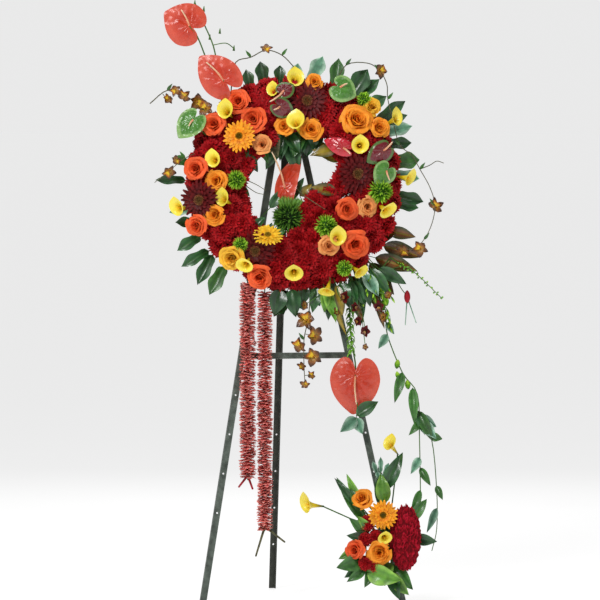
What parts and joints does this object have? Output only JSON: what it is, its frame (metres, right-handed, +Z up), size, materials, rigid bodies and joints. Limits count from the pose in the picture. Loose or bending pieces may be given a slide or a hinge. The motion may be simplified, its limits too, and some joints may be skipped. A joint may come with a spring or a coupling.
{
  "type": "funeral wreath on easel stand",
  "caption": "Round mixed-flower funeral wreath with trailing strings and stems, hung on a folding three-legged metal easel with a small bouquet on its right leg.",
  "frame": {"origin": "on the floor, below the middle of the whole piece's box", "axes": "+Z up, the wreath faces -Y, +X to the right as seen from the front"},
  "size_m": [0.7725, 0.5766, 1.5583],
  "materials": {
    "easel_steel": "satin grey-green paint",
    "tray_plastic": "matt",
    "wet_foam": "matt, damp",
    "crimson_petals": "soft matt petals",
    "green_spathes": "waxy",
    "burgundy_spathes": "waxy",
    "coral_spathes": "waxy gloss",
    "coral_petals": "soft petals",
    "orange_petals": "soft petals",
    "yellow_petals": "smooth petals",
    "lime_florets": "fine matt florets",
    "moss": "mossy",
    "pink_petals": "soft petals",
    "bronze_orchids": "waxy petals",
    "croton_leaves": "waxy",
    "green_stems": "smooth",
    "dark_leaves": "waxy"
  },
  "bodies": {
    "wreath": {"anthurium_green_left": "green_spathes", "anthurium_green_top": "green_spathes", "anthurium_hanging": "coral_spathes", "anthurium_hole": "coral_spathes", "anthuriums_burgundy": "burgundy_spathes", "anthuriums_right": "coral_spathes", "anthuriums_top_left": "coral_spathes", "bouquet_cage": "wet_foam", "bouquet_callas": "yellow_petals", "bouquet_leaves": "dark_leaves", "bouquet_roses": "orange_petals", "bouquet_tie": "tray_plastic", "callas_bottom": "yellow_petals", "callas_left": "yellow_petals", "callas_lower_right": "yellow_petals", "callas_right": "yellow_petals", "callas_top": "yellow_petals", "callas_upper_left": "yellow_petals", "carnations_1": "crimson_petals", "carnations_2": "crimson_petals", "carnations_3": "crimson_petals", "carnations_4": "crimson_petals", "carnations_5": "crimson_petals", "carnations_6": "crimson_petals", "cockscomb": "crimson_petals", "crossbar": "easel_steel", "crossbar_rivet_left": "easel_steel", "crossbar_rivet_right": "easel_steel", "croton_right": "croton_leaves", "flowering_vine": "bronze_orchids", "foam_ring": "wet_foam", "gerbera_gold": "yellow_petals", "gerbera_orange": "orange_petals", "hanger_hook": "easel_steel", "head_bracket": "easel_steel", "ivy_bottom": "dark_leaves", "ivy_left": "dark_leaves", "ivy_right": "dark_leaves", "ivy_top": "dark_leaves", "leg_front_left": "easel_steel", "leg_front_right": "easel_steel", "moss_ball": "moss", "mum_right": "lime_florets", "mums_left": "lime_florets", "mums_lower": "lime_florets", "orchid_spray_hanging": "bronze_orchids", "orchid_sprays_left": "bronze_orchids", "petal_string_left": "pink_petals", "petal_string_right": "pink_petals", "pivot_bolt": "easel_steel", "ring_tray": "tray_plastic", "roses_left": "coral_petals", "roses_lower_left": "orange_petals", "roses_lower_right": "coral_petals", "roses_top": "orange_petals", "roses_upper_left": "coral_petals", "roses_upper_right": "orange_petals", "trailing_vine": "green_stems"},
    "back_leg": {"leg_back": "easel_steel"}
  },
  "joints": [
    {"name": "back_leg_fold", "type": "hinge", "parent": "wreath", "child": "back_leg", "pos_m": [-0.0115, 0.06455, 1.28057], "axis": [1, 0, 0], "range_deg": [-19, 0]}
  ]
}
